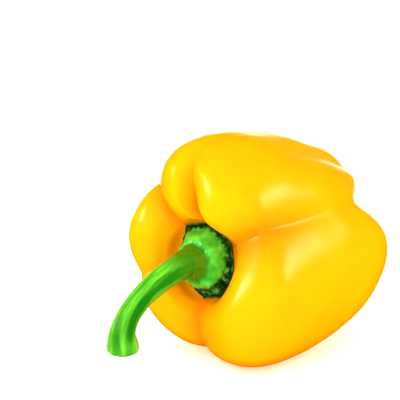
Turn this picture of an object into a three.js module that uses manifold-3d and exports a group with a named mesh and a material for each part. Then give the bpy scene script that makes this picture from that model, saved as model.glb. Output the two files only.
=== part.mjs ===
// A yellow bell pepper that lies on its side: a fruit of five lobes, a toothed calyx and a curved stem.
//
// Millimetres, +Z up. The stem end looks towards -Y, and the pepper lies on a small flat at Z = 0,
// where two lobes meet the ground. The origin is on that surface, below the middle of the box.
//
// Every shape is first made about the pepper's own axis, which is Z with the stem end up, X to the
// right and Y upwards when the stem end is looked at. The last step lays the pepper down.

import * as THREE from "three";
import { mergeVertices } from "three/addons/utils/BufferGeometryUtils.js";
import Module from "manifold-3d";

const manifold = await Module();
manifold.setup();

// ---------------------------------------------------------------- driving dimensions

const STEM_END_TILT = 5; // degrees that the stem end is raised
const FLAT_DEPTH = 1.2; // how much the flat takes away from the lowest lobe
const GAP = 0.4; // clearance between the fruit and the calyx, measured along the axis
const STEM_GAP = 0.3; // clearance between the calyx and the stem

// Lobes, by the angle of their middle. girth is the greatest radius, rise lifts the shoulder,
// reach pulls the inner wall towards the calyx, belly is extra radius past mid length, and tip is
// extra radius towards the blossom end.
const LOBES = [
  { middle: 68, girth: 43.5, rise: 0, reach: 1.5, belly: 0.2, tip: -6.9 },
  { middle: 102.4, girth: 49.2, rise: 1.5, reach: 0.5, belly: -1.2, tip: -4.2 },
  { middle: 160.4, girth: 41.4, rise: -1.2, reach: 1.6, belly: -5, tip: -0.4 },
  { middle: 230, girth: 34.5, rise: -2.9, reach: 1.6, belly: 6, tip: 4.6 },
  { middle: 324.6, girth: 53.8, rise: 2.6, reach: 0.4, belly: -5, tip: 0.8 },
];

// Creases, each before the lobe of the same index. deep is the share of the full crease in the
// cavity, and shallow is the share along the side of the fruit.
const CREASES = [
  { angle: 29.2, deep: 1, shallow: 1.1 },
  { angle: 93.2, deep: 0.9, shallow: 0.05 },
  { angle: 129.8, deep: 0.9, shallow: 0.73 },
  { angle: 198.5, deep: 0.75, shallow: 0.4 },
  { angle: 274, deep: 1, shallow: 0.9 },
];
const CREASE_FADE = { from: 3, to: 6.5 }; // in profile points from the cavity floor
const CREASE_ROUNDING = 0.16; // 0 would fold the crease to a sharp line

// Profiles from the cavity floor to the blossom end: radius, height along the axis.
const RIDGE = [
  [0, 27], [8, 27.2], [14.6, 28.9], [17.6, 35.4], [24, 41], [36, 39.2], [43.2, 28],
  [44.6, 9], [42.2, -10], [35.5, -27], [24.8, -39.5], [11, -38], [0, -36],
];
const GROOVE = [
  [0, 27], [8, 27.2], [14, 28.2], [18, 31], [24, 33], [33, 31], [37, 20],
  [38.2, 4], [36.8, -12], [30.2, -27], [19.5, -35], [8, -35.5], [0, -35],
];
const RIDGE_GIRTH = 47; // girth of a lobe that follows RIDGE as it is
const RISE_STATION = { at: 4.2, width: 3.6 }; // in profile points from the cavity floor
const REACH_STATION = { at: 3.2, width: 2.2 };
const BELLY_STATION = { at: 7.6, width: 3.4 };
const TIP_STATION = { at: 9.4, width: 3 };
const OUTER_STATION = { from: 2, to: 5 }; // where the cavity ends and the girth takes over
const BODY_OFFSET = [0, 0.3]; // the fruit's middle, off the stem's
const BODY_BEND = [9.1, 11.3]; // sideways drift of the blossom end
const BEND_START = 28; // height where the drift starts
const BEND_LENGTH = 68;

// Calyx: the tips of its teeth by angle and radius, and the rim and dome by share of that radius.
const TEETH = [
  [36, 14], [85, 14.8], [127, 15.2], [184, 13.2], [228, 12.8], [272, 14.4], [310, 15.6], [336, 14.8],
];
const DOME_TOP = 36.5; // height of the flat that the stem stands on
const DOME_TOP_RADIUS = 6;
const RIM_THICKNESS = 1.3;
// share of the way from the rim to the dome's flat, and share of the dome's height
const CALYX_PROFILE = [[0.1, 0.02], [0.28, -0.06], [0.42, 0.12], [0.56, 0.52], [0.76, 0.88]];

// Stem: middle line from the dome to the cut end, about the pepper's axis, and radius at each point.
const STEM_LINE = [
  [-0.6, 0.4, DOME_TOP + STEM_GAP], [-1.6, -0.6, 41], [-3.6, -4.6, 49.8], [-5.4, -9.9, 58],
  [-6.8, -16.6, 64.3], [-7.5, -23, 66.7], [-8.2, -28.8, 65.2],
];
const STEM_RADII = [6, 5.1, 4.5, 4.2, 4.3, 4.9, 6];
const STEM_RIBS = 5;
const STEM_RIB_SHARE = 0.04;
const STEM_CUT = [[0.96, 0.7], [0.82, 1.3], [0.5, 1.4]]; // cut face: share of the radius, distance past the end

// Mesh density
const FRUIT_COLUMNS = 96;
const FRUIT_ROWS = 40;
const CALYX_COLUMNS_PER_TOOTH = 8;
const CALYX_FLOOR_ROWS = 4;
const STEM_SIDES = 20;
const STEM_ROWS = 22;

// ---------------------------------------------------------------- small helpers

const radians = THREE.MathUtils.degToRad;

/** Value that eases from 0 at `from` to 1 at `to`. */
function ease(value, from, to) {
  return THREE.MathUtils.smoothstep(value, from, to);
}

/** Soft hump of height 1 at the station's middle, 0 from its width outwards. */
function hump(value, station) {
  const share = Math.min(Math.abs(value - station.at) / station.width, 1);
  return Math.cos((share * Math.PI) / 2) ** 2;
}

/** Smooth curve through a profile that meets the axis square on at both ends. */
function profileCurve(points) {
  const mirrored = ([radius, height]) => [-radius, height];
  const all = [mirrored(points[1]), ...points, mirrored(points.at(-2))];
  const curve = new THREE.SplineCurve(all.map(([x, y]) => new THREE.Vector2(x, y)));
  return (station) => curve.getPoint((station + 1) / (all.length - 1));
}

/**
 * Closed body from rings of points, each ring counter-clockwise when looked at from the first end,
 * with the first and last rings closed to a middle point.
 */
function loftedBody(start, rings, end) {
  const sides = rings[0].length;
  const vertices = [start, ...rings.flat(), end];
  const last = vertices.length - 1;
  const at = (ring, side) => 1 + ring * sides + (side % sides);
  const faces = [];
  for (let side = 0; side < sides; side += 1) {
    faces.push(0, at(0, side), at(0, side + 1));
    for (let ring = 0; ring < rings.length - 1; ring += 1) {
      faces.push(at(ring, side), at(ring + 1, side), at(ring + 1, side + 1));
      faces.push(at(ring, side), at(ring + 1, side + 1), at(ring, side + 1));
    }
    faces.push(at(rings.length - 1, side), last, at(rings.length - 1, side + 1));
  }
  const geometry = new THREE.BufferGeometry().setFromPoints(vertices);
  geometry.setIndex(faces);
  return geometry;
}

// ---------------------------------------------------------------- fruit

const ridgeAt = profileCurve(RIDGE);
const grooveAt = profileCurve(GROOVE);

/** Lobe values at an angle and a station: fullness is 1 on a lobe's middle line, least in a crease. */
function lobeAt(angle, station) {
  const count = LOBES.length;
  const turned = THREE.MathUtils.euclideanModulo(angle - CREASES[0].angle, 360) + CREASES[0].angle;
  let index = count - 1;
  while (turned < CREASES[index].angle) index -= 1;
  const lobe = LOBES[index];
  const before = turned < lobe.middle;
  const next = (index + 1) % count;
  const crease = before ? CREASES[index] : CREASES[next];
  const edge = crease.angle + (!before && next === 0 ? 360 : 0);
  const across = Math.cos((((turned - lobe.middle) / (edge - lobe.middle)) * Math.PI) / 2);
  const rounded = Math.hypot(across, CREASE_ROUNDING) - CREASE_ROUNDING;
  const fold = rounded / (Math.hypot(1, CREASE_ROUNDING) - CREASE_ROUNDING);

  const neighbour = LOBES[before ? (index + count - 1) % count : next];
  const wrap = before && index === 0 ? -360 : !before && next === 0 ? 360 : 0;
  const blend = ease((turned - lobe.middle) / (neighbour.middle + wrap - lobe.middle), 0, 1);
  const mixed = (key) => THREE.MathUtils.lerp(lobe[key], neighbour[key], blend);
  const fade = ease(station, CREASE_FADE.from, CREASE_FADE.to);
  return {
    fullness: 1 - THREE.MathUtils.lerp(crease.deep, crease.shallow, fade) * (1 - fold),
    girth: mixed("girth"),
    rise: mixed("rise"),
    reach: mixed("reach"),
    belly: mixed("belly"),
    tip: mixed("tip"),
  };
}

/** Point of the fruit's skin at an angle and at a station, counted in profile points. */
function fruitPoint(angle, station) {
  const lobe = lobeAt(angle, station);
  const point = grooveAt(station).lerp(ridgeAt(station), lobe.fullness);
  const outer = ease(station, OUTER_STATION.from, OUTER_STATION.to);
  const height = point.y + lobe.rise * hump(station, RISE_STATION) * lobe.fullness;
  const radius =
    point.x * (1 + (lobe.girth / RIDGE_GIRTH - 1) * outer) -
    lobe.reach * hump(station, REACH_STATION) * lobe.fullness +
    lobe.belly * hump(station, BELLY_STATION) +
    lobe.tip * hump(station, TIP_STATION);
  const bend = Math.max((BEND_START - height) / BEND_LENGTH, 0) ** 2;
  return new THREE.Vector3(
    radius * Math.cos(radians(angle)) + BODY_OFFSET[0] * outer + BODY_BEND[0] * bend,
    radius * Math.sin(radians(angle)) + BODY_OFFSET[1] * outer + BODY_BEND[1] * bend,
    height,
  );
}

/** Column angles, spread so that every crease lies on a column. */
function fruitColumns() {
  return CREASES.flatMap(({ angle }, index) => {
    const next = index + 1 < CREASES.length ? CREASES[index + 1].angle : CREASES[0].angle + 360;
    const count = Math.round(((next - angle) / 360) * FRUIT_COLUMNS);
    return Array.from({ length: count }, (_, step) => angle + ((next - angle) * step) / count);
  });
}

function fruitGeometry() {
  const angles = fruitColumns();
  const lastStation = RIDGE.length - 1;
  const rings = Array.from({ length: FRUIT_ROWS - 1 }, (_, row) => {
    const station = ((row + 1) / FRUIT_ROWS) * lastStation;
    return angles.map((angle) => fruitPoint(angle, station));
  });
  return loftedBody(fruitPoint(0, 0), rings, fruitPoint(0, lastStation));
}

// ---------------------------------------------------------------- calyx

/** Tooth tips with straight edges between them: a list of [angle, radius] round the rim. */
function rimOutline() {
  return TEETH.flatMap(([angle, radius], index) => {
    const [nextAngle, nextRadius] = TEETH[(index + 1) % TEETH.length];
    const span = THREE.MathUtils.euclideanModulo(nextAngle - angle, 360);
    return Array.from({ length: CALYX_COLUMNS_PER_TOOTH }, (_, step) => {
      const turn = (span * step) / CALYX_COLUMNS_PER_TOOTH;
      const edge =
        (radius * nextRadius * Math.sin(radians(span))) /
        (radius * Math.sin(radians(turn)) + nextRadius * Math.sin(radians(span - turn)));
      return [angle + turn, edge];
    });
  });
}

/** Station of the cavity where its radius is the one asked for. */
function stationAtRadius(angle, radius) {
  let low = 0;
  let high = REACH_STATION.at;
  for (let step = 0; step < 24; step += 1) {
    const middle = (low + high) / 2;
    const point = fruitPoint(angle, middle);
    if (Math.hypot(point.x, point.y) < radius) low = middle;
    else high = middle;
  }
  return low;
}

function calyxGeometry() {
  const outline = rimOutline().map(([angle, radius]) => ({
    angle,
    radius,
    station: stationAtRadius(angle, radius),
  }));
  const floorPoint = (angle, station) =>
    fruitPoint(angle, station).add(new THREE.Vector3(0, 0, GAP));
  const rings = [];
  for (let row = 1; row <= CALYX_FLOOR_ROWS; row += 1) {
    const share = row / CALYX_FLOOR_ROWS;
    rings.push(outline.map(({ angle, station }) => floorPoint(angle, station * share)));
  }
  for (const [inwards, lift] of [[0, 0], ...CALYX_PROFILE, [1, 1]]) {
    rings.push(
      outline.map(({ angle, radius, station }) => {
        const rimHeight = floorPoint(angle, station).z + RIM_THICKNESS;
        const out = THREE.MathUtils.lerp(radius - 0.3, DOME_TOP_RADIUS, inwards);
        return new THREE.Vector3(
          out * Math.cos(radians(angle)),
          out * Math.sin(radians(angle)),
          THREE.MathUtils.lerp(rimHeight, DOME_TOP, lift),
        );
      }),
    );
  }
  rings.reverse();
  return loftedBody(new THREE.Vector3(0, 0, DOME_TOP), rings, floorPoint(0, 0));
}

// ---------------------------------------------------------------- stem

function stemGeometry() {
  const line = new THREE.CatmullRomCurve3(STEM_LINE.map((point) => new THREE.Vector3(...point)));
  const radii = new THREE.SplineCurve(STEM_RADII.map((radius, index) => new THREE.Vector2(index, radius)));
  const ringAt = (share, scale, past) => {
    const centre = line.getPoint(share);
    // the base lies flat on the dome, and the rest is square to the middle line
    const along = line.getTangent(share).lerp(new THREE.Vector3(0, 0, 1), 1 - ease(share, 0, 0.15));
    along.normalize();
    const side = new THREE.Vector3(1, 0, 0).addScaledVector(along, -along.x).normalize();
    const up = new THREE.Vector3().crossVectors(along, side);
    const radius = radii.getPoint(share).y * scale;
    return Array.from({ length: STEM_SIDES }, (_, step) => {
      const turn = (step / STEM_SIDES) * 2 * Math.PI;
      const out = radius * (1 + STEM_RIB_SHARE * Math.cos(STEM_RIBS * turn) * ease(share, 0, 0.2));
      return centre
        .clone()
        .addScaledVector(side, out * Math.cos(turn))
        .addScaledVector(up, out * Math.sin(turn))
        .addScaledVector(along, past);
    });
  };
  const rings = Array.from({ length: STEM_ROWS + 1 }, (_, row) => ringAt(row / STEM_ROWS, 1, 0));
  rings.push(...STEM_CUT.map(([scale, past]) => ringAt(1, scale, past)));
  const tip = line.getPoint(1).addScaledVector(line.getTangent(1), STEM_CUT.at(-1)[1]);
  rings.reverse();
  return loftedBody(tip, rings, line.getPoint(0));
}

// ---------------------------------------------------------------- laying the pepper down

/** The body without anything below Z = 0. */
function cutAtGround(geometry) {
  const solidOf = (source) => {
    const merged = mergeVertices(source);
    return new manifold.Manifold(
      new manifold.Mesh({
        numProp: 3,
        vertProperties: new Float32Array(merged.attributes.position.array),
        triVerts: new Uint32Array(merged.index.array),
      }),
    );
  };
  const size = 400;
  const ground = new THREE.BoxGeometry(size, size, size).translate(0, 0, -size / 2);
  ground.deleteAttribute("normal");
  ground.deleteAttribute("uv");
  const mesh = solidOf(geometry).subtract(solidOf(ground)).getMesh();
  const cut = new THREE.BufferGeometry();
  cut.setAttribute("position", new THREE.BufferAttribute(mesh.vertProperties, mesh.numProp));
  cut.setIndex(new THREE.BufferAttribute(mesh.triVerts, 1));
  return cut;
}

/** Geometries turned onto their side and moved so that the ground is at Z = 0, origin below the middle. */
function layDown(geometries) {
  const box = new THREE.Box3();
  for (const geometry of geometries) {
    geometry.rotateX(radians(90 - STEM_END_TILT));
    geometry.computeBoundingBox();
    box.union(geometry.boundingBox);
  }
  const middle = box.getCenter(new THREE.Vector3());
  for (const geometry of geometries) {
    geometry.translate(-middle.x, -middle.y, -box.min.z - FLAT_DEPTH);
  }
}

const fruit = fruitGeometry();
const calyx = calyxGeometry();
const stem = stemGeometry();
layDown([fruit, calyx, stem]);

function namedMesh(name, geometry, colour, roughness) {
  geometry.computeVertexNormals();
  const material = new THREE.MeshStandardMaterial({ color: colour, roughness, metalness: 0 });
  const mesh = new THREE.Mesh(geometry, material);
  mesh.name = name;
  return mesh;
}

const pepper = new THREE.Group();
pepper.add(
  namedMesh("pepper_fruit", cutAtGround(fruit), 0xfab800, 0.25),
  namedMesh("calyx", calyx, 0x2f8f1e, 0.5),
  namedMesh("stem", stem, 0x55b82c, 0.45),
);

export default pepper;
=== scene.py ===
# A yellow bell pepper on a pale studio floor: fruit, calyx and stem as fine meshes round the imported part.
#
# Shapes are worked out in millimetres about the pepper's own axis: Z runs along it with the stem end
# up, X to the right and Y upwards when the stem end is looked at. lay_down() turns them into the
# frame's metres. The outline values are the ones that the part itself is driven by.

import math

import bpy
import numpy as np
from bpy.props import FloatProperty, FloatVectorProperty, IntProperty, PointerProperty
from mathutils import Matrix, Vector, noise


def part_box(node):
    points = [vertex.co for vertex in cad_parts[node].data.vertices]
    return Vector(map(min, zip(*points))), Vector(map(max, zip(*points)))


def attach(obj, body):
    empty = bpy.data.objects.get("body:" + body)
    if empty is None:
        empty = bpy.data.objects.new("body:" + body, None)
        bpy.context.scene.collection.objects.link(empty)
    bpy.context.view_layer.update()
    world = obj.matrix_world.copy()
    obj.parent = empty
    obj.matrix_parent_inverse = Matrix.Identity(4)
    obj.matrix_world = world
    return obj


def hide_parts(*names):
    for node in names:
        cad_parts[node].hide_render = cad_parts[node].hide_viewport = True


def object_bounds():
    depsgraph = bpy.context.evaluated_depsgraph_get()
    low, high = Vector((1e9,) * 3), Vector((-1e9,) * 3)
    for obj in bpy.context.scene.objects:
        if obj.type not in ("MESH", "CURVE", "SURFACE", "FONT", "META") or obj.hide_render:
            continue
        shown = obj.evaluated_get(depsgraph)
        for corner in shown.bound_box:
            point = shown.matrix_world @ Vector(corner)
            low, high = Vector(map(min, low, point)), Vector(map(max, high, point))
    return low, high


bl_info = {
    "name": "Bell Pepper",
    "version": (1, 0, 0),
    "blender": (4, 5, 0),
    "location": "View3D > Sidebar > Bell Pepper",
    "description": "Builds a yellow bell pepper with its calyx and stem, and a pale studio",
    "category": "Add Mesh",
}

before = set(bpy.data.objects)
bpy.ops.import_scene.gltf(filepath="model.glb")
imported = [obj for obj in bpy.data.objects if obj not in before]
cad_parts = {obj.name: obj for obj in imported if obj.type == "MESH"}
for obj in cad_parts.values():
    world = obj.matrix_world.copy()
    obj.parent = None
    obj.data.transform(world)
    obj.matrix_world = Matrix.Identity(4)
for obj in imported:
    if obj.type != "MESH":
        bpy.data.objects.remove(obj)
CAD_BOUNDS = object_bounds()
MM = 0.001

# ---------------------------------------------------------------- outline of the pepper, in mm

STEM_END_TILT = math.radians(5)

# angle of the lobe's middle in degrees, greatest radius, rise of the shoulder, reach of the inner
# wall towards the calyx, extra belly past mid length, extra radius towards the blossom end
LOBES = (
    (68.0, 43.5, 0.0, 1.5, 0.2, -6.9),
    (102.4, 49.2, 1.5, 0.5, -1.2, -4.2),
    (160.4, 41.4, -1.2, 1.6, -5.0, -0.4),
    (230.0, 34.5, -2.9, 1.6, 6.0, 4.6),
    (324.6, 53.8, 2.6, 0.4, -5.0, 0.8),
)
# angle of the crease before the lobe, share of the full depth in the cavity and along the side
CREASES = (
    (29.2, 1.0, 1.1), (93.2, 0.9, 0.05), (129.8, 0.9, 0.73), (198.5, 0.75, 0.4), (274.0, 1.0, 0.9),
)
CREASE_FADE = (3.0, 6.5)

# radius and height along the axis, from the cavity floor to the blossom end
RIDGE = (
    (0, 27), (8, 27.2), (14.6, 28.9), (17.6, 35.4), (24, 41), (36, 39.2), (43.2, 28),
    (44.6, 9), (42.2, -10), (35.5, -27), (24.8, -39.5), (11, -38), (0, -36),
)
GROOVE = (
    (0, 27), (8, 27.2), (14, 28.2), (18, 31), (24, 33), (33, 31), (37, 20),
    (38.2, 4), (36.8, -12), (30.2, -27), (19.5, -35), (8, -35.5), (0, -35),
)
RIDGE_GIRTH = 47.0
LAST_STATION = len(RIDGE) - 1
RISE_STATION = (4.2, 3.6)
REACH_STATION = (3.2, 2.2)
BELLY_STATION = (7.6, 3.4)
TIP_STATION = (9.4, 3.0)
OUTER_STATION = (2.0, 5.0)
BODY_OFFSET = (0.0, 0.3)
BODY_BEND = (9.1, 11.3)
BEND_START = 28.0
BEND_LENGTH = 68.0

# tooth tips of the calyx: angle, radius
TEETH = (
    (36, 14), (85, 14.8), (127, 15.2), (184, 13.2), (228, 12.8), (272, 14.4), (310, 15.6), (336, 14.8),
)
STEM_FOOT = 36.5

# middle line of the stem and its radius at each point
STEM_LINE = (
    (-0.6, 0.4, STEM_FOOT), (-1.6, -0.6, 41), (-3.6, -4.6, 49.8), (-5.4, -9.9, 58),
    (-6.8, -16.6, 64.3), (-7.5, -23, 66.7), (-8.2, -28.8, 65.2),
)
STEM_RADII = (6.0, 5.1, 4.5, 4.2, 4.3, 4.9, 6.0)


# ---------------------------------------------------------------- shape helpers

def ease(values, start, end):
    """Eases from 0 at start to 1 at end."""
    share = np.clip((values - start) / (end - start), 0, 1)
    return share * share * (3 - 2 * share)


def hump(values, station):
    """Soft hump of height 1 at the station's middle, 0 from its width outwards."""
    middle, width = station
    return np.cos(np.clip(np.abs(values - middle) / width, 0, 1) * math.pi / 2) ** 2


def spline(points, stations):
    """Catmull-Rom curve through the points, at stations counted in points."""
    points = np.asarray(points, float)
    spans = len(points) - 1
    before = 2 * points[0] - points[1]
    after = 2 * points[-1] - points[-2]
    padded = np.vstack([before, points, after])
    index = np.clip(np.floor(stations).astype(int), 0, spans - 1)
    t = (np.asarray(stations, float) - index)[:, None]
    a, b, c, d = (padded[index + step] for step in range(4))
    return 0.5 * (2 * b + (c - a) * t + (2 * a - 5 * b + 4 * c - d) * t**2 + (3 * b - a - 3 * c + d) * t**3)


def axis_profile(points, stations):
    """The same curve for a profile that meets the axis square on at both ends."""
    mirror = np.array([-1, 1])
    points = np.asarray(points, float)
    padded = np.vstack([points[1] * mirror, points, points[-2] * mirror])
    return spline(padded, np.asarray(stations) + 1)


def lobe_values(angles, rounding):
    """For each angle: crease share in the cavity and along the side, then the lobe's five values."""
    count = len(LOBES)
    first = CREASES[0][0]
    turned = (np.asarray(angles, float) - first) % 360 + first
    creases = np.array(CREASES + ((first + 360, *CREASES[0][1:]),), float)
    middles = np.array([lobe[0] for lobe in LOBES], float)
    index = np.clip(np.searchsorted(creases[:, 0], turned, side="right") - 1, 0, count - 1)
    edge = np.where(turned < middles[index], index, index + 1)
    reach = (turned - middles[index]) / (creases[edge, 0] - middles[index])
    across = np.cos(reach * math.pi / 2)
    fold = (np.hypot(across, rounding) - rounding) / (math.hypot(1, rounding) - rounding)
    ring = np.concatenate([[middles[-1] - 360], middles, [middles[0] + 360]])
    values = np.array([LOBES[-1][1:], *(lobe[1:] for lobe in LOBES), LOBES[0][1:]], float)
    start = np.clip(np.searchsorted(ring, turned, side="right") - 1, 0, count)
    blend = ease((turned - ring[start]) / (ring[start + 1] - ring[start]), 0, 1)[:, None]
    mixed = (values[start] * (1 - blend) + values[start + 1] * blend).T
    return creases[edge, 1] * (1 - fold), creases[edge, 2] * (1 - fold), *mixed


def fruit_points(angles, stations, rounding=0.16, sharp_rounding=0.16):
    """Skin points about the pepper's axis, one row for each angle, and how full the lobe is there.

    The creases have their sharp rounding at the stem end, and the other one along the side.
    """
    _, shallow, girth, rise, reach, belly, tip = (v[:, None] for v in lobe_values(angles, rounding))
    deep, shallow_too, *_ = (v[:, None] for v in lobe_values(angles, sharp_rounding))
    stations = np.asarray(stations, float)
    fade = ease(stations, *CREASE_FADE)
    soften = ease(stations, 4.5, 8.5)
    shallow = shallow_too * (1 - soften) + shallow * soften
    full = 1 - (deep * (1 - fade) + shallow * fade)
    ridge = axis_profile(RIDGE, stations)
    groove = axis_profile(GROOVE, stations)
    outer = ease(stations, *OUTER_STATION)
    radius = groove[:, 0] + (ridge[:, 0] - groove[:, 0]) * full
    height = groove[:, 1] + (ridge[:, 1] - groove[:, 1]) * full
    height = height + rise * hump(stations, RISE_STATION) * full
    radius = radius * (1 + (girth / RIDGE_GIRTH - 1) * outer)
    radius = radius - reach * hump(stations, REACH_STATION) * full
    radius = radius + belly * hump(stations, BELLY_STATION) + tip * hump(stations, TIP_STATION)
    bend = np.maximum((BEND_START - height) / BEND_LENGTH, 0) ** 2
    turn = np.radians(angles)[:, None]
    x = radius * np.cos(turn) + BODY_OFFSET[0] * outer + BODY_BEND[0] * bend
    y = radius * np.sin(turn) + BODY_OFFSET[1] * outer + BODY_BEND[1] * bend
    return np.stack([x, y, height], axis=-1), full


def tilt(points):
    """Turns points about the pepper's axis onto its side, stem end towards -Y."""
    x, y, z = np.moveaxis(np.asarray(points, float), -1, 0)
    s, c = math.sin(STEM_END_TILT), math.cos(STEM_END_TILT)
    return np.stack([x, y * s - z * c, y * c + z * s], axis=-1)


def frame_shift():
    """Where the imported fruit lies: its box gives the move from the pepper's axis to the frame."""
    low, high = (np.array(corner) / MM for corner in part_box("pepper_fruit"))
    points, _ = fruit_points(np.arange(0, 360, 1.5), np.linspace(0, LAST_STATION, 200))
    points = tilt(points).reshape(-1, 3)
    middle = (points.min(0) + points.max(0)) / 2
    shift = (low + high) / 2 - middle
    shift[2] = high[2] - points[:, 2].max()
    return shift


SHIFT = frame_shift()


def lay_down(points):
    """Points about the pepper's axis, in mm, to the frame's metres."""
    return (tilt(points) + SHIFT) * MM


def swell(points, size, seed):
    """Smooth value from -1 to 1 at each point, with hills about `size` mm wide."""
    offset = Vector((seed * 17.3, seed * 5.1, seed * 9.7))
    flat = points.reshape(-1, 3) / size
    values = [noise.noise(Vector(point) + offset) for point in flat]
    return np.array(values).reshape(points.shape[:-1])


def grid_mesh(name, start, rings, end, values):
    """Closed mesh of rings from one middle point to another, with a named value at each vertex."""
    rings = np.asarray(rings)
    count, sides, _ = rings.shape
    vertices = np.vstack([start, rings.reshape(-1, 3), end])
    side = np.arange(sides)
    after = (side + 1) % sides
    faces = [(0, 1 + a, 1 + b) for a, b in zip(side, after)]
    for ring in range(count - 1):
        top = 1 + ring * sides
        low = top + sides
        faces += [(top + a, low + a, low + b, top + b) for a, b in zip(side, after)]
    last = 1 + (count - 1) * sides
    faces += [(last + a, len(vertices) - 1, last + b) for a, b in zip(side, after)]
    mesh = bpy.data.meshes.new(name)
    mesh.from_pydata(vertices.tolist(), [], [tuple(int(i) for i in face) for face in faces])
    mesh.polygons.foreach_set("use_smooth", [True] * len(mesh.polygons))
    for key, rows in values.items():
        rows = np.asarray(rows, float)
        wide = rows.ndim == 3
        layer = mesh.attributes.new(key, "FLOAT_VECTOR" if wide else "FLOAT", "POINT")
        flat = rows.reshape(count * sides, -1)
        full = np.vstack([flat[:sides].mean(0), flat, flat[-sides:].mean(0)])
        layer.data.foreach_set("vector" if wide else "value", full.ravel())
    mesh.update()
    piece = bpy.data.objects.new(name, mesh)
    bpy.context.scene.collection.objects.link(piece)
    return piece


# ---------------------------------------------------------------- materials

def linear(hex_colour):
    """sRGB hex colour, such as "#F8B400", to linear red, green and blue."""
    channels = [int(hex_colour[i : i + 2], 16) / 255 for i in (1, 3, 5)]
    return tuple(c / 12.92 if c <= 0.04045 else ((c + 0.055) / 1.055) ** 2.4 for c in channels)


def add_node(tree, kind, inputs=None, **settings):
    """Adds a node with its settings. An input is a value, or a socket to link."""
    made = tree.nodes.new(kind)
    for key, value in settings.items():
        setattr(made, key, value)
    for key, value in (inputs or {}).items():
        if isinstance(value, bpy.types.NodeSocket):
            tree.links.new(value, made.inputs[key])
        else:
            made.inputs[key].default_value = value
    return made


def new_material(name):
    """An empty node material with its output node."""
    material = bpy.data.materials.new(name)
    material.use_nodes = True
    tree = material.node_tree
    tree.nodes.clear()
    return material, tree, add_node(tree, "ShaderNodeOutputMaterial")


def waxy_pepper_skin(settings):
    """Bell pepper skin, grown smooth under a film of wax.

    Clear wax over deep yellow flesh: crisp, weak reflections over a soft, saturated colour, with painted
    shade of deeper orange in the cavity and the creases that stands in for light going from wall to wall.
    """
    material, tree, output = new_material("waxy_pepper_skin")
    where = add_node(tree, "ShaderNodeTexCoord").outputs["Object"]
    fold = add_node(tree, "ShaderNodeAttribute", attribute_name="fold").outputs["Fac"]
    scar = add_node(tree, "ShaderNodeAttribute", attribute_name="scar").outputs["Fac"]
    # clouds of riper skin about 25 mm wide
    clouds = add_node(
        tree, "ShaderNodeTexNoise",
        {"Vector": where, "Scale": 1 / (25 * MM), "Detail": 2.0, "Roughness": 0.4},
    )
    ripe = add_node(
        tree, "ShaderNodeMapRange",
        {"Value": clouds.outputs["Fac"], "From Min": 0.35, "From Max": 0.7, "To Min": 0.0, "To Max": 0.35},
    )
    body = add_node(
        tree, "ShaderNodeMix",
        {"Factor": ripe.outputs["Result"], 6: (*settings.skin_colour, 1), 7: (*settings.ripe_colour, 1)},
        data_type="RGBA",
    )
    # painted shade: the fold value turns the cavity and the creases by the stem end deeper orange
    fold_shaded = add_node(
        tree, "ShaderNodeMix",
        {"Factor": fold, 6: body.outputs[2], 7: (*settings.fold_shade_colour, 1)},
        data_type="RGBA",
    )
    scarred = add_node(
        tree, "ShaderNodeMix",
        {"Factor": scar, 6: fold_shaded.outputs[2], 7: (*settings.scar_colour, 1)},
        data_type="RGBA",
    )
    # wax film: patches about 6 mm wide that are a little duller
    film = add_node(
        tree, "ShaderNodeTexNoise",
        {"Vector": where, "Scale": 1 / (6 * MM), "Detail": 3.0, "Roughness": 0.5},
    )
    dull = add_node(
        tree, "ShaderNodeMapRange",
        {"Value": film.outputs["Fac"], "From Min": 0.3, "From Max": 0.7, "To Min": 0.21, "To Max": 0.27},
    )
    # skin cells, far finer than the render shows, drawn 0.8 mm wide
    cells = add_node(tree, "ShaderNodeTexNoise", {"Vector": where, "Scale": 1 / (0.8 * MM), "Detail": 2.0})
    grain = add_node(
        tree, "ShaderNodeBump",
        {"Height": cells.outputs["Fac"], "Strength": 0.06, "Distance": 0.05 * MM},
    )
    shader = add_node(
        tree, "ShaderNodeBsdfPrincipled",
        {
            "Base Color": scarred.outputs[2],
            "Roughness": dull.outputs["Result"],
            "Normal": grain.outputs["Normal"],
            "IOR": 1.45,
            "Subsurface Weight": 0.75,
            "Subsurface Radius": (1.0, 0.6, 0.1),
            "Subsurface Scale": 9 * MM,
        },
    )
    tree.links.new(shader.outputs["BSDF"], output.inputs["Surface"])
    return material


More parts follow.
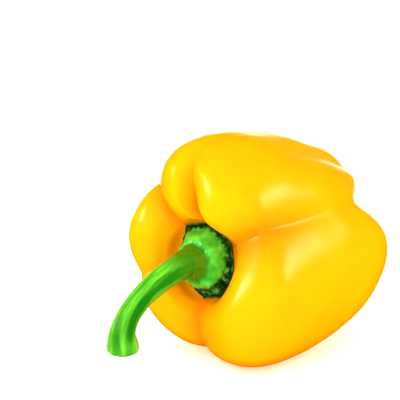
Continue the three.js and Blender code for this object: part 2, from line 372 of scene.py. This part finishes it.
def leathery_calyx(settings):
    """Calyx of a fresh pepper: smooth green dome, rough collar that has dried a little.

    The dome is satin and bright, and the collar is dark and wrinkled with pale crests; underneath, its dark
    green reaches further in as painted shade, and the olive round the stem's foot is partly painted shade.
    """
    material, tree, output = new_material("leathery_calyx")
    where = add_node(tree, "ShaderNodeTexCoord").outputs["Object"]
    collar = add_node(tree, "ShaderNodeAttribute", attribute_name="collar").outputs["Fac"]
    pale = add_node(tree, "ShaderNodeAttribute", attribute_name="pale").outputs["Fac"]
    root = add_node(tree, "ShaderNodeAttribute", attribute_name="root").outputs["Fac"]
    # gnarls about 1 mm wide
    gnarls = add_node(
        tree, "ShaderNodeTexNoise",
        {"Vector": where, "Scale": 1 / (1.0 * MM), "Detail": 4.0, "Roughness": 0.65},
    )
    specks = add_node(
        tree, "ShaderNodeMapRange",
        {"Value": gnarls.outputs["Fac"], "From Min": 0.55, "From Max": 0.75, "To Min": 0.0, "To Max": 0.5},
    )
    crests = add_node(
        tree, "ShaderNodeMath", {0: specks.outputs["Result"], 1: pale}, operation="ADD", use_clamp=True
    )
    # the collar's dark green, which underneath also stands for painted shade
    rough_green = add_node(
        tree, "ShaderNodeMix",
        {"Factor": crests.outputs[0], 6: (*settings.collar_and_shade_colour, 1), 7: (*settings.crest_colour, 1)},
        data_type="RGBA",
    )
    # faint blotches on the dome, about 5 mm wide
    blotches = add_node(tree, "ShaderNodeTexNoise", {"Vector": where, "Scale": 1 / (5 * MM), "Detail": 3.0})
    blotch = add_node(
        tree, "ShaderNodeMapRange", {"Value": blotches.outputs["Fac"], "From Min": 0.35, "From Max": 0.65}
    )
    dome = add_node(
        tree, "ShaderNodeMix",
        {
            "Factor": blotch.outputs["Result"],
            6: (*settings.dome_colour, 1),
            7: (*settings.dome_shade_colour, 1),
        },
        data_type="RGBA",
    )
    # painted shade: olive darkening round the stem's foot
    root_shaded = add_node(
        tree, "ShaderNodeMix",
        {"Factor": root, 6: dome.outputs[2], 7: (*settings.root_shade_colour, 1)},
        data_type="RGBA",
    )
    colour = add_node(
        tree, "ShaderNodeMix",
        {"Factor": collar, 6: root_shaded.outputs[2], 7: rough_green.outputs[2]},
        data_type="RGBA",
    )
    roughness = add_node(
        tree, "ShaderNodeMapRange",
        {"Value": collar, "To Min": 0.26, "To Max": 0.5},
    )
    depth = add_node(tree, "ShaderNodeMapRange", {"Value": collar, "To Min": 0.06, "To Max": 0.35})
    moist = add_node(tree, "ShaderNodeMapRange", {"Value": collar, "To Min": 0.7, "To Max": 0.0})
    relief = add_node(
        tree, "ShaderNodeBump",
        {"Height": gnarls.outputs["Fac"], "Strength": depth.outputs["Result"], "Distance": 0.25 * MM},
    )
    shader = add_node(
        tree, "ShaderNodeBsdfPrincipled",
        {
            "Base Color": colour.outputs[2],
            "Roughness": roughness.outputs["Result"],
            "Normal": relief.outputs["Normal"],
            "IOR": 1.5,
            "Coat Weight": moist.outputs["Result"],
            "Coat Roughness": 0.22,
            "Subsurface Weight": 0.1,
            "Subsurface Radius": (0.4, 1.0, 0.2),
            "Subsurface Scale": 1 * MM,
        },
    )
    tree.links.new(shader.outputs["BSDF"], output.inputs["Surface"])
    return material


def fresh_stalk(settings):
    """Fresh pepper stalk: moist green skin, grown in long ribs.

    Crests are paler than the furrows between them, fibres run lengthwise, one band of painted shade runs
    along the middle, the foot is olive with painted shade where it leaves the calyx, the swollen end is
    paler, and its cut face is pale.
    """
    material, tree, output = new_material("fresh_stalk")
    rib = add_node(tree, "ShaderNodeAttribute", attribute_name="rib").outputs["Fac"]
    cut = add_node(tree, "ShaderNodeAttribute", attribute_name="cut").outputs["Fac"]
    root = add_node(tree, "ShaderNodeAttribute", attribute_name="root").outputs["Fac"]
    tip = add_node(tree, "ShaderNodeAttribute", attribute_name="tip").outputs["Fac"]
    skin = add_node(tree, "ShaderNodeAttribute", attribute_name="skin").outputs["Vector"]
    # fibres about 0.8 mm wide and 6 mm long
    lengthwise = add_node(
        tree, "ShaderNodeMapping",
        {"Vector": skin, "Scale": (1 / (0.8 * MM), 1 / (0.8 * MM), 1 / (6 * MM))},
    )
    fibres = add_node(
        tree, "ShaderNodeTexNoise",
        {"Vector": lengthwise.outputs["Vector"], "Scale": 1.0, "Detail": 4.0, "Roughness": 0.75},
    )
    tone = add_node(
        tree, "ShaderNodeMath", {0: rib, 1: fibres.outputs["Fac"]}, operation="MULTIPLY", use_clamp=True
    )
    level = add_node(
        tree, "ShaderNodeMapRange", {"Value": tone.outputs[0], "From Min": 0.12, "From Max": 0.42}
    )
    green = add_node(
        tree, "ShaderNodeMix",
        {
            "Factor": level.outputs["Result"],
            6: (*settings.hollow_and_shade_colour, 1),
            7: (*settings.ridge_colour, 1),
        },
        data_type="RGBA",
    )
    # painted shade: olive darkening at the foot, where the stem meets the dome
    root_shaded = add_node(
        tree, "ShaderNodeMix",
        {"Factor": root, 6: green.outputs[2], 7: (*settings.root_shade_colour, 1)},
        data_type="RGBA",
    )
    tipped_share = add_node(tree, "ShaderNodeMath", {0: tip, 1: 0.35}, operation="MULTIPLY")
    tipped = add_node(
        tree, "ShaderNodeMix",
        {"Factor": tipped_share.outputs[0], 6: root_shaded.outputs[2], 7: (*settings.tip_colour, 1)},
        data_type="RGBA",
    )
    colour = add_node(
        tree, "ShaderNodeMix",
        {"Factor": cut, 6: tipped.outputs[2], 7: (*settings.cut_colour, 1)},
        data_type="RGBA",
    )
    relief = add_node(
        tree, "ShaderNodeBump",
        {"Height": fibres.outputs["Fac"], "Strength": 0.6, "Distance": 0.35 * MM},
    )
    shader = add_node(
        tree, "ShaderNodeBsdfPrincipled",
        {
            "Base Color": colour.outputs[2],
            "Roughness": 0.34,
            "Normal": relief.outputs["Normal"],
            "IOR": 1.45,
            "Subsurface Weight": 0.15,
            "Subsurface Radius": (0.4, 1.0, 0.2),
            "Subsurface Scale": 1.5 * MM,
        },
    )
    tree.links.new(shader.outputs["BSDF"], output.inputs["Surface"])
    return material


def lit_paper(settings):
    """White paper on a lit table: matt, and bright enough to swallow all but the nearest shadow."""
    material, tree, output = new_material("lit_paper")
    shader = add_node(
        tree, "ShaderNodeBsdfPrincipled",
        {
            "Base Color": (*settings.floor_colour, 1),
            "Roughness": 0.9,
            "Specular IOR Level": 0.1,
            "Emission Color": (*settings.floor_colour, 1),
            "Emission Strength": settings.table_glow,
        },
    )
    tree.links.new(shader.outputs["BSDF"], output.inputs["Surface"])
    return material


# ---------------------------------------------------------------- settings

def colour_setting(name, description, hex_colour):
    """A colour that the user can change, from its sRGB hex value."""
    return FloatVectorProperty(
        name=name, description=description, subtype="COLOR", min=0, max=1, default=linear(hex_colour)
    )


class FruitSettings(bpy.types.PropertyGroup):
    columns: IntProperty(name="Columns", description="Mesh columns round the fruit", default=380, min=48)
    rows: IntProperty(
        name="Rows", description="Mesh rows from stem end to blossom end", default=220, min=24
    )
    crease_rounding: FloatProperty(
        name="Crease rounding", description="0 folds the creases to sharp lines", default=0.12,
        min=0.02, max=0.5,
    )
    fold_rounding: FloatProperty(
        name="Fold rounding", description="The same, at the stem end", default=0.03, min=0.01, max=0.5
    )
    waviness: FloatProperty(
        name="Waviness", description="Height of the skin's gentle hills", default=0.5 * MM, unit="LENGTH"
    )
    skin_colour: colour_setting("Skin", "Colour of the sunlit skin", "#FFB400")
    ripe_colour: colour_setting("Ripe skin", "Colour of the riper clouds", "#FFA800")
    # painted shade: the orange that the cavity and the creases are darkened to
    fold_shade_colour: colour_setting("Folds", "Colour in the cavity and the creases", "#FF9600")
    scar_colour: colour_setting("Scar", "Brown of the scar at the blossom end", "#7A4A1C")


class CalyxSettings(bpy.types.PropertyGroup):
    columns_per_tooth: IntProperty(
        name="Columns per tooth", description="Mesh columns from one tooth to the next", default=40, min=8
    )
    gnarl_height: FloatProperty(
        name="Gnarl height", description="Height of the collar's rough bumps", default=0.6 * MM,
        unit="LENGTH",
    )
    dome_colour: colour_setting("Dome", "Bright green of the dome", "#6CCB45")
    dome_shade_colour: colour_setting("Dome shade", "Darker blotches of the dome", "#3BA02F")
    # olive tone with painted shade where the stem leaves the dome
    root_shade_colour: colour_setting("Root", "Olive green where the stem leaves the dome", "#46850C")
    # dark green of the collar, and painted shade where it reaches further in underneath
    collar_and_shade_colour: colour_setting("Collar", "Dark green of the rough collar", "#063C08")
    crest_colour: colour_setting("Crests", "Pale crests of the collar's wrinkles and edge", "#7CC85A")


class StemSettings(bpy.types.PropertyGroup):
    sides: IntProperty(name="Sides", description="Mesh columns round the stem", default=120, min=12)
    rows: IntProperty(name="Rows", description="Mesh rows along the stem", default=260, min=24)
    ribs: IntProperty(name="Ribs", description="Long ribs round the stem", default=6, min=3)
    # painted shade: where the band of painted shade lies round the stem
    shade_band_turn: FloatProperty(
        name="Band turn", description="Where the dark band lies, round the stem", subtype="ANGLE",
        default=0.15,
    )
    rib_height: FloatProperty(
        name="Rib height", description="Height of the ribs", default=0.12 * MM, unit="LENGTH"
    )
    foot_flare: FloatProperty(
        name="Foot flare", description="Extra radius where the stem leaves the calyx", default=0.9 * MM,
        unit="LENGTH",
    )
    ridge_colour: colour_setting("Ridges", "Pale green of the ribs", "#78C83A")
    # darker green between the ribs, and also the colour of the band of painted shade
    hollow_and_shade_colour: colour_setting("Hollows", "Darker green between the ribs", "#1C820C")
    # olive tone with painted shade at the foot
    root_shade_colour: colour_setting("Root", "Olive green of the foot", "#46850C")
    tip_colour: colour_setting("Tip", "Pale green of the swollen end", "#86D64A")
    cut_colour: colour_setting("Cut end", "Pale green of the cut end", "#B9D877")


class StageSettings(bpy.types.PropertyGroup):
    azimuth: FloatProperty(
        name="Azimuth", description="Camera's turn from the stem end", subtype="ANGLE",
        default=math.radians(38),
    )
    elevation: FloatProperty(
        name="Elevation", description="Camera's height angle", subtype="ANGLE", default=math.radians(15)
    )
    distance: FloatProperty(
        name="Distance", description="Camera to the aim point", default=1.0, unit="LENGTH"
    )
    view_width: FloatProperty(
        name="View width", description="Width of the view at the aim point", default=148 * MM, unit="LENGTH"
    )
    snoot_power: FloatProperty(
        name="Snoot power", description="Narrow lamp beside the camera, on the calyx", default=10.0,
        unit="POWER",
    )
    room_light: FloatProperty(name="Room light", description="Soft light from all sides", default=0.8, min=0)
    floor_colour: colour_setting("Floor", "Colour of the floor", "#F4F0EE")
    table_glow: FloatProperty(
        name="Table glow", description="Light that the floor gives off", default=0.3, min=0
    )


# ---------------------------------------------------------------- pieces

def dress(piece, material, node):
    """Gives a piece its material and its place in the frame."""
    piece.data.materials.append(material)
    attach(piece, "root")
    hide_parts(node)


def even_columns(count):
    """Column angles spread so that every crease lies on a column."""
    angles = []
    for index, (start, *_) in enumerate(CREASES):
        end = CREASES[index + 1][0] if index + 1 < len(CREASES) else CREASES[0][0] + 360
        share = round((end - start) / 360 * count)
        angles.extend(start + (end - start) * np.arange(share) / share)
    return np.array(angles)


class BELLPEPPER_OT_fruit(bpy.types.Operator):
    """Build the lobed fruit as one closed mesh"""

    bl_idname = "bell_pepper.build_fruit"
    bl_label = "Build Fruit"

    def execute(self, context):
        settings = context.scene.pepper_fruit
        angles = even_columns(settings.columns)
        stations = np.linspace(0, LAST_STATION, settings.rows + 1)[1:-1]
        points, full = fruit_points(angles, stations, settings.crease_rounding, settings.fold_rounding)
        ends, _ = fruit_points(np.array([0.0]), np.array([0.0, LAST_STATION]))
        # hills about 22 and 11 mm wide, pushed out from the middle of the fruit
        hills = swell(points, 22.0, 1) + 0.45 * swell(points, 11.0, 3)
        outward = points / np.linalg.norm(points, axis=-1, keepdims=True)
        calm = ease(stations, 2.2, 4.0)[None, :, None]
        points = points + outward * hills[..., None] * calm * settings.waviness / MM
        placed = lay_down(points)
        placed[..., 2] = np.maximum(placed[..., 2], 0)
        first, last = lay_down(ends[0])
        # painted shade: fold darkens the cavity and the creases near the stem end to deeper orange
        cavity = 1 - ease(stations, 2.6, 4.6)
        crease = np.clip(1 - full, 0, 1) ** 2
        fold = np.clip(0.1 * cavity + 1.2 * crease * (1 - ease(stations, 4.5, 7.5)), 0, 1)
        scar = 1 - ease(np.linalg.norm(points - ends[0, 1], axis=-1), 1.2, 2.6)
        piece = grid_mesh(
            "fruit_skin", first, placed.transpose(1, 0, 2), last,
            {"fold": (fold + 0 * full).T, "scar": scar.T},
        )
        dress(piece, waxy_pepper_skin(settings), "pepper_fruit")
        return {"FINISHED"}


def calyx_outline(columns):
    """Tooth tips with straight edges between them: angle in degrees and radius in mm."""
    angles, radii = [], []
    for index, (angle, radius) in enumerate(TEETH):
        next_angle, next_radius = TEETH[(index + 1) % len(TEETH)]
        span = math.radians((next_angle - angle) % 360)
        turn = span * np.arange(columns) / columns
        edge = radius * next_radius * math.sin(span)
        radii.extend(edge / (radius * np.sin(turn) + next_radius * np.sin(span - turn)))
        angles.extend(angle + np.degrees(turn))
    return np.array(angles), np.array(radii)


def floor_heights(angles, radii):
    """Height of the cavity under each point of a ring."""
    stations = np.linspace(0, 3.2, 240)
    points, _ = fruit_points(angles, stations)
    reach = np.hypot(points[..., 0], points[..., 1])
    return np.array([
        np.interp(radius, np.maximum.accumulate(row), heights)
        for radius, row, heights in zip(radii, reach, points[..., 2])
    ])


# collar and dome from the edge of the underside to the stem: share of the rim's radius, lift over it
CALYX_PROFILE = (
    (0.985, 0.0), (1.0, 0.5), (0.985, 0.95), (0.95, 0.75), (0.9, 0.6), (0.86, 0.9), (0.82, 1.7),
    (0.78, 2.9), (0.74, 4.3), (0.69, 5.7), (0.63, 6.6), (0.56, 7.05), (0.5, 7.2), (0.455, 7.6),
    (0.415, 8.6), (0.385, 10.0), (0.35, 12.0),
)
RIDGE_SHARE = 0.83  # where the pale wrinkle between collar and dome runs, as a share of the rim's radius
UNDERSIDE_ROWS = 8
CALYX_ROWS = 150
UNDERSIDE_GAP = 0.3  # mm, from the cavity's floor
EDGE_GAP = 0.35  # mm, the same at the rim and on the top
RAY_RADIUS = 14  # mm, where the spacing of the wrinkles is measured


class BELLPEPPER_OT_calyx(bpy.types.Operator):
    """Build the calyx: a rough toothed collar and the dome that the stem grows from"""

    bl_idname = "bell_pepper.build_calyx"
    bl_label = "Build Calyx"

    def execute(self, context):
        settings = context.scene.pepper_calyx
        angles, rim = calyx_outline(settings.columns_per_tooth)
        turn = np.radians(angles)
        direction = np.stack([np.cos(turn), np.sin(turn), 0 * turn], axis=-1)
        up = np.array([0, 0, 1.0])
        # the edge is frayed: nicks about 1.5 mm wide
        rim = rim + 0.3 * swell(direction * RAY_RADIUS, 1.5, 6)
        rim_height = floor_heights(angles, rim)
        rings, shares = [], []
        for share in np.linspace(0.15, 0.985, UNDERSIDE_ROWS):
            lift = floor_heights(angles, rim * share) + UNDERSIDE_GAP
            rings.append(direction * (rim * share)[:, None] + up * lift[:, None])
            shares.append(1.0)
        stations = np.linspace(0, len(CALYX_PROFILE) - 1, CALYX_ROWS)
        for share, lift in spline(CALYX_PROFILE, stations)[1:]:
            inwards = ease(1.0 - share, 0.15, 0.4)
            radius = (rim * (1 - inwards) + rim.mean() * inwards) * share
            height = rim_height * (1 - inwards) + rim_height.mean() * inwards + EDGE_GAP + lift
            rings.append(direction * radius[:, None] + up * height[:, None])
            shares.append(share)
        rings, shares = np.array(rings), np.array(shares)[:, None]
        # collar: wrinkles that run outwards, about 2 mm apart, and gnarls about 1 mm wide
        rays = direction[None] * RAY_RADIUS + up * 0.5 * np.linalg.norm(rings, axis=-1, keepdims=True)
        wrinkles = swell(rays, 2.1, 3) + 0.9 * swell(rings, 1.2, 4) + 0.5 * swell(rings, 0.5, 7)
        # it is ragged inside, and widest underneath, where its dark green reaching further in is painted
        # shade
        ragged_and_shaded = shares + 0.025 * swell(rays, 2.6, 12) - 0.06 * np.sin(turn)
        rough = ease(ragged_and_shaded, 0.75, 0.82)
        collar = rough * (1 - 0.4 * ease(shares, 0.96, 1.0))
        # dome: faint ribs that run up to the stem, about 4 mm apart at its foot
        ribs = swell(rays, 4.0, 5) * (1 - rough)
        top = (np.arange(len(rings)) >= UNDERSIDE_ROWS)[:, None]
        lift = (wrinkles * collar + 0.8 * ribs) * top * settings.gnarl_height / MM
        rings = rings + direction * lift[..., None] * 0.5 + up * lift[..., None] * 0.9
        wander = RIDGE_SHARE + 0.03 * swell(rays, 3.0, 11)
        ridge = np.exp(-(((shares - wander) / 0.05) ** 2)) + np.exp(-(((shares - 0.99) / 0.012) ** 2))
        pale = np.clip(ridge * (0.25 + 0.8 * wrinkles), 0, 0.85) * top
        # olive with painted shade round the stem's foot, where the dome meets the stem
        root = 1 - ease(shares + 0.03 * ribs, 0.42, 0.6)
        piece = grid_mesh(
            "calyx_dome", lay_down(rings[-1].mean(0)), lay_down(rings[::-1]), lay_down(rings[0].mean(0)),
            {
                "collar": rough[::-1],
                "pale": pale[::-1],
                "root": root[::-1],
            },
        )
        dress(piece, leathery_calyx(settings), "calyx")
        return {"FINISHED"}


# cut end of the stem: share of the radius, distance past the end in mm
STEM_CUT = ((0.99, 0.3), (0.96, 0.7), (0.9, 1.05), (0.82, 1.3), (0.7, 1.45), (0.5, 1.5), (0.25, 1.45))
STEM_TIP_SHARE = 0.78  # where the end starts to swell, along the middle line
STEM_SKIN_RADIUS = 5  # mm, for the spacing of the fibres
FLARE_LENGTH = 1.6  # mm over which the foot's flare dies away


class BELLPEPPER_OT_stem(bpy.types.Operator):
    """Build the curved, ribbed stem with its swollen cut end"""

    bl_idname = "bell_pepper.build_stem"
    bl_label = "Build Stem"

    def execute(self, context):
        settings = context.scene.pepper_stem
        stations = np.linspace(0, len(STEM_LINE) - 1, settings.rows)
        share = stations / stations[-1]
        centres = spline(STEM_LINE, stations)
        steps = np.linalg.norm(np.diff(centres, axis=0), axis=1)
        length = np.concatenate([[0], np.cumsum(steps)])
        # the foot flares out to meet the dome
        radii = spline(np.array(STEM_RADII)[:, None], stations)[:, 0]
        flare = settings.foot_flare / MM * np.exp(-length / FLARE_LENGTH)
        radii = radii - 0.5 * (1 - ease(share, 0, 0.2)) + flare
        along = np.gradient(centres, axis=0)
        along = along / np.linalg.norm(along, axis=1, keepdims=True)
        upright = (1 - ease(share, 0, 0.15))[:, None]
        along = along * (1 - upright) + np.array([0, 0, 1.0]) * upright
        along = along / np.linalg.norm(along, axis=1, keepdims=True)
        side = np.array([1.0, 0, 0]) - along * along[:, :1]
        side = side / np.linalg.norm(side, axis=1, keepdims=True)
        above = np.cross(along, side)
        turn = np.linspace(0, 2 * math.pi, settings.sides, endpoint=False)

        # one row for each ring: row of the middle line, share of the radius, distance past it
        rows = [(row, 1.0, 0.0) for row in range(settings.rows)]
        rows += [(settings.rows - 1, scale, past) for scale, past in STEM_CUT]
        index = np.array([row[0] for row in rows])
        scale, past = (np.array([row[column] for row in rows])[:, None] for column in (1, 2))
        at, run = share[index][:, None], length[index][:, None] + past
        tip = ease(at, STEM_TIP_SHARE, 1.0)
        foot = ease(at, 0.0, 0.15)
        # ribs that wind a little, and fibres about 1.3 mm apart that run lengthwise
        winding = settings.ribs * turn[None] + 1.2 * at
        rib = 0.5 + 0.5 * np.cos(winding + 0.5 * np.sin(2 * turn[None] + 1.0))
        around_x, around_y = (STEM_SKIN_RADIUS * wave(turn)[None] + 0 * run for wave in (np.cos, np.sin))
        skin = np.stack([around_x, around_y, run + 0 * turn[None]], axis=-1)
        fibre = swell(skin * np.array([1, 1, 0.12]), 1.3, 8)
        furrow = swell(skin * np.array([1, 1, 0.2]), 2.2, 9)
        height = settings.rib_height / MM
        out = (2 * rib - 1) * height * foot * (1 - 0.5 * tip)
        out = out + fibre * (0.1 + 0.16 * tip) + furrow * (0.12 + 0.2 * tip) * foot
        reach = (radii[index][:, None] + out) * scale
        middle = centres[index][:, None] + along[index][:, None] * past[..., None]
        rings = middle + side[index][:, None] * (reach * np.cos(turn))[..., None]
        rings = rings + above[index][:, None] * (reach * np.sin(turn))[..., None]
        # one band of painted shade along the middle, and mottled skin on the swollen end
        aside = (turn[None] - settings.shade_band_turn - 0.3 * at + math.pi) % (2 * math.pi) - math.pi
        band = np.exp(-((aside / 0.5) ** 2)) * ease(at, 0.1, 0.25) * (1 - ease(at, 0.8, 0.95))
        rib_tone_and_shade = 0.62 + 0.12 * (2 * rib - 1) + 0.3 * fibre + (0.15 + 0.5 * tip) * furrow
        rib_tone_and_shade = np.clip(rib_tone_and_shade - (0.55 + 0.2 * furrow) * band, 0, 1)
        cut = (1 - ease(scale, 0.8, 0.93)) * (past > 0) + 0 * rib
        # olive with painted shade at the foot, where the stem meets the dome
        root = 1 - ease(run, 4.0, 14.0) + 0 * rib
        values = {"rib": rib_tone_and_shade, "cut": cut, "root": root, "tip": tip + 0 * rib, "skin": skin * MM}
        piece = grid_mesh(
            "stalk", lay_down(rings[-1].mean(0)), lay_down(rings[::-1]), lay_down(rings[0].mean(0)),
            {key: value[::-1] for key, value in values.items()},
        )
        dress(piece, fresh_stalk(settings), "stem")
        return {"FINISHED"}


# ---------------------------------------------------------------- stage

AIM_FROM_CALYX = Vector((-5.4, 6.1, 21.3))  # mm
FLOOR_HALF = 6.0  # metres
FAR_WALL_GLOSS = 2.8  # how bright gloss mirrors the wall behind the pepper
SEEN_WHITE = 1.5  # bright enough to stay plain white behind the pepper
SNOOT_CONE = math.radians(5)
SNOOT_RISE = math.radians(3)  # above the camera
SNOOT_DISTANCE = 0.9  # metres

# name, azimuth and elevation in degrees, distance, width and height in metres, how bright it is in
# gloss and as a light
SOFTBOXES = (
    ("right_softbox", 125, 30, 0.8, (0.72, 0.3), 1.1, 3.0),
    ("right_softbox_middle", 121, 30, 0.8, (0.56, 0.2), 2.3, 0.0),
    ("left_strip", -44, 21, 0.8, (0.18, 0.24), 5.0, 2.6),
    ("left_strip_middle", -44, 21, 0.8, (0.1, 0.18), 9.0, 0.0),
    ("front_fill", 42, 20, 1.2, (1.0, 1.0), 0.0, 0.4),
    ("cavity_fill", 10, 36, 0.9, (0.7, 0.7), 0.0, 1.1),
    ("left_fill", -60, 40, 1.2, (1.0, 1.0), 0.0, 0.8),
)


def look_at(thing, place, target):
    """Puts a lamp or the camera at a place and turns it to the target."""
    thing.location = place
    thing.rotation_euler = (Vector(target) - Vector(place)).to_track_quat("-Z", "Y").to_euler()


def around(azimuth, elevation, distance, centre):
    """Point at a distance, azimuth 0 being the stem end's side, -Y."""
    flat = math.cos(elevation) * distance
    return Vector(centre) + Vector(
        (math.sin(azimuth) * flat, -math.cos(azimuth) * flat, math.sin(elevation) * distance)
    )


def add_softbox(name, azimuth, elevation, distance, size, gloss, light, centre):
    """Rectangular softbox: how bright gloss mirrors its face, and how bright it is as a light.

    The two differ as they do behind a polarising filter, so each is a lamp of its own.
    """
    for kind, radiance in (("gloss", gloss), ("light", light)):
        if radiance == 0:
            continue
        lamp = bpy.data.lights.new(f"{name}_{kind}", "AREA")
        lamp.shape = "RECTANGLE"
        lamp.size, lamp.size_y = size
        lamp.energy = radiance * math.pi * size[0] * size[1]
        holder = bpy.data.objects.new(lamp.name, lamp)
        holder.visible_glossy = kind == "gloss"
        holder.visible_diffuse = kind == "light"
        bpy.context.scene.collection.objects.link(holder)
        look_at(holder, around(math.radians(azimuth), math.radians(elevation), distance, centre), centre)


def studio_world(settings):
    """White room: even soft light on matt surfaces, and gloss mirrors only its far wall."""
    world = bpy.data.worlds.new("white_room")
    bpy.context.scene.world = world
    world.use_nodes = True
    tree = world.node_tree
    tree.nodes.clear()
    direction = add_node(tree, "ShaderNodeTexCoord").outputs["Generated"]
    front = around(settings.azimuth, math.radians(10), 1.0, (0, 0, 0))
    facing = add_node(tree, "ShaderNodeVectorMath", {0: direction, 1: front}, operation="DOT_PRODUCT")
    far_wall = add_node(
        tree, "ShaderNodeMapRange",
        {
            "Value": facing.outputs["Value"],
            "From Min": -0.99, "From Max": -0.91, "To Min": FAR_WALL_GLOSS, "To Max": 0.0,
        },
        interpolation_type="SMOOTHSTEP",
    )
    height = add_node(tree, "ShaderNodeSeparateXYZ", {"Vector": direction}).outputs["Z"]
    above_table = add_node(
        tree, "ShaderNodeMapRange", {"Value": height, "From Min": -0.45, "From Max": -0.15},
        interpolation_type="SMOOTHSTEP",
    )
    mirrored = add_node(
        tree, "ShaderNodeMath",
        {0: far_wall.outputs["Result"], 1: above_table.outputs["Result"]}, operation="MULTIPLY",
    )
    rays = add_node(tree, "ShaderNodeLightPath").outputs
    lit = add_node(
        tree, "ShaderNodeMix",
        {"Factor": rays["Is Glossy Ray"], 2: settings.room_light, 3: mirrored.outputs[0]},
    )
    shown = add_node(
        tree, "ShaderNodeMix", {"Factor": rays["Is Camera Ray"], 2: lit.outputs[0], 3: SEEN_WHITE}
    )
    sky = add_node(tree, "ShaderNodeBackground", {"Color": (1, 1, 1, 1), "Strength": shown.outputs[0]})
    output = add_node(tree, "ShaderNodeOutputWorld")
    tree.links.new(sky.outputs["Background"], output.inputs["Surface"])


class BELLPEPPER_OT_stage(bpy.types.Operator):
    """Build the floor, the soft light and the camera"""

    bl_idname = "bell_pepper.build_stage"
    bl_label = "Build Stage"

    def execute(self, context):
        settings = context.scene.pepper_stage
        scene = context.scene
        low, high = (Vector(corner) for corner in CAD_BOUNDS)
        middle = (low + high) / 2

        camera = bpy.data.cameras.new("camera")
        camera.sensor_width = 36.0
        camera.lens = camera.sensor_width * settings.distance / settings.view_width
        camera.clip_end = 100
        holder = bpy.data.objects.new("camera", camera)
        scene.collection.objects.link(holder)
        calyx_low, calyx_high = (Vector(corner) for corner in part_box("calyx"))
        aim = (calyx_low + calyx_high) / 2 + AIM_FROM_CALYX * MM
        look_at(holder, around(settings.azimuth, settings.elevation, settings.distance, aim), aim)
        scene.camera = holder

        mesh = bpy.data.meshes.new("floor")
        corners = [(x * FLOOR_HALF, y * FLOOR_HALF, 0) for x, y in ((-1, -1), (1, -1), (1, 1), (-1, 1))]
        mesh.from_pydata(corners, [], [(0, 1, 2, 3)])
        floor = bpy.data.objects.new("floor", mesh)
        scene.collection.objects.link(floor)
        mesh.materials.append(lit_paper(settings))
        floor.visible_glossy = False

        for name, azimuth, elevation, distance, size, gloss, light in SOFTBOXES:
            add_softbox(name, azimuth, elevation, distance, size, gloss, light, middle)
        # a snoot beside the camera opens up the shade round the calyx
        lamp = bpy.data.lights.new("snoot", "SPOT")
        lamp.energy = settings.snoot_power
        lamp.spot_size = SNOOT_CONE
        lamp.spot_blend = 1.0
        lamp.shadow_soft_size = 0.03
        snoot = bpy.data.objects.new("snoot", lamp)
        snoot.visible_glossy = False
        scene.collection.objects.link(snoot)
        calyx = (calyx_low + calyx_high) / 2
        place = around(settings.azimuth, settings.elevation + SNOOT_RISE, SNOOT_DISTANCE, calyx)
        look_at(snoot, place, calyx)
        studio_world(settings)
        scene.view_settings.view_transform = "Standard"
        scene.view_settings.look = "High Contrast"
        return {"FINISHED"}


# ---------------------------------------------------------------- panel and registration

class BELLPEPPER_PT_panel(bpy.types.Panel):
    """Lists each operator with its settings"""

    bl_label = "Bell Pepper"
    bl_space_type = "VIEW_3D"
    bl_region_type = "UI"
    bl_category = "Bell Pepper"

    def draw(self, context):
        for key, operator in BUILDS.items():
            group = getattr(context.scene, key)
            column = self.layout.box().column()
            column.operator(operator.bl_idname)
            for setting in group.__annotations__:
                column.prop(group, setting)


BUILDS = {
    "pepper_stage": BELLPEPPER_OT_stage,
    "pepper_fruit": BELLPEPPER_OT_fruit,
    "pepper_calyx": BELLPEPPER_OT_calyx,
    "pepper_stem": BELLPEPPER_OT_stem,
}
GROUPS = {
    "pepper_stage": StageSettings,
    "pepper_fruit": FruitSettings,
    "pepper_calyx": CalyxSettings,
    "pepper_stem": StemSettings,
}
CLASSES = (*GROUPS.values(), *BUILDS.values(), BELLPEPPER_PT_panel)


def register():
    for cls in CLASSES:
        bpy.utils.register_class(cls)
    for key, group in GROUPS.items():
        setattr(bpy.types.Scene, key, PointerProperty(type=group))


def unregister():
    for key in GROUPS:
        delattr(bpy.types.Scene, key)
    for cls in reversed(CLASSES):
        bpy.utils.unregister_class(cls)


def main():
    register()
    bpy.ops.bell_pepper.build_stage()
    bpy.ops.bell_pepper.build_fruit()
    bpy.ops.bell_pepper.build_calyx()
    bpy.ops.bell_pepper.build_stem()


if __name__ == "__main__":
    main()
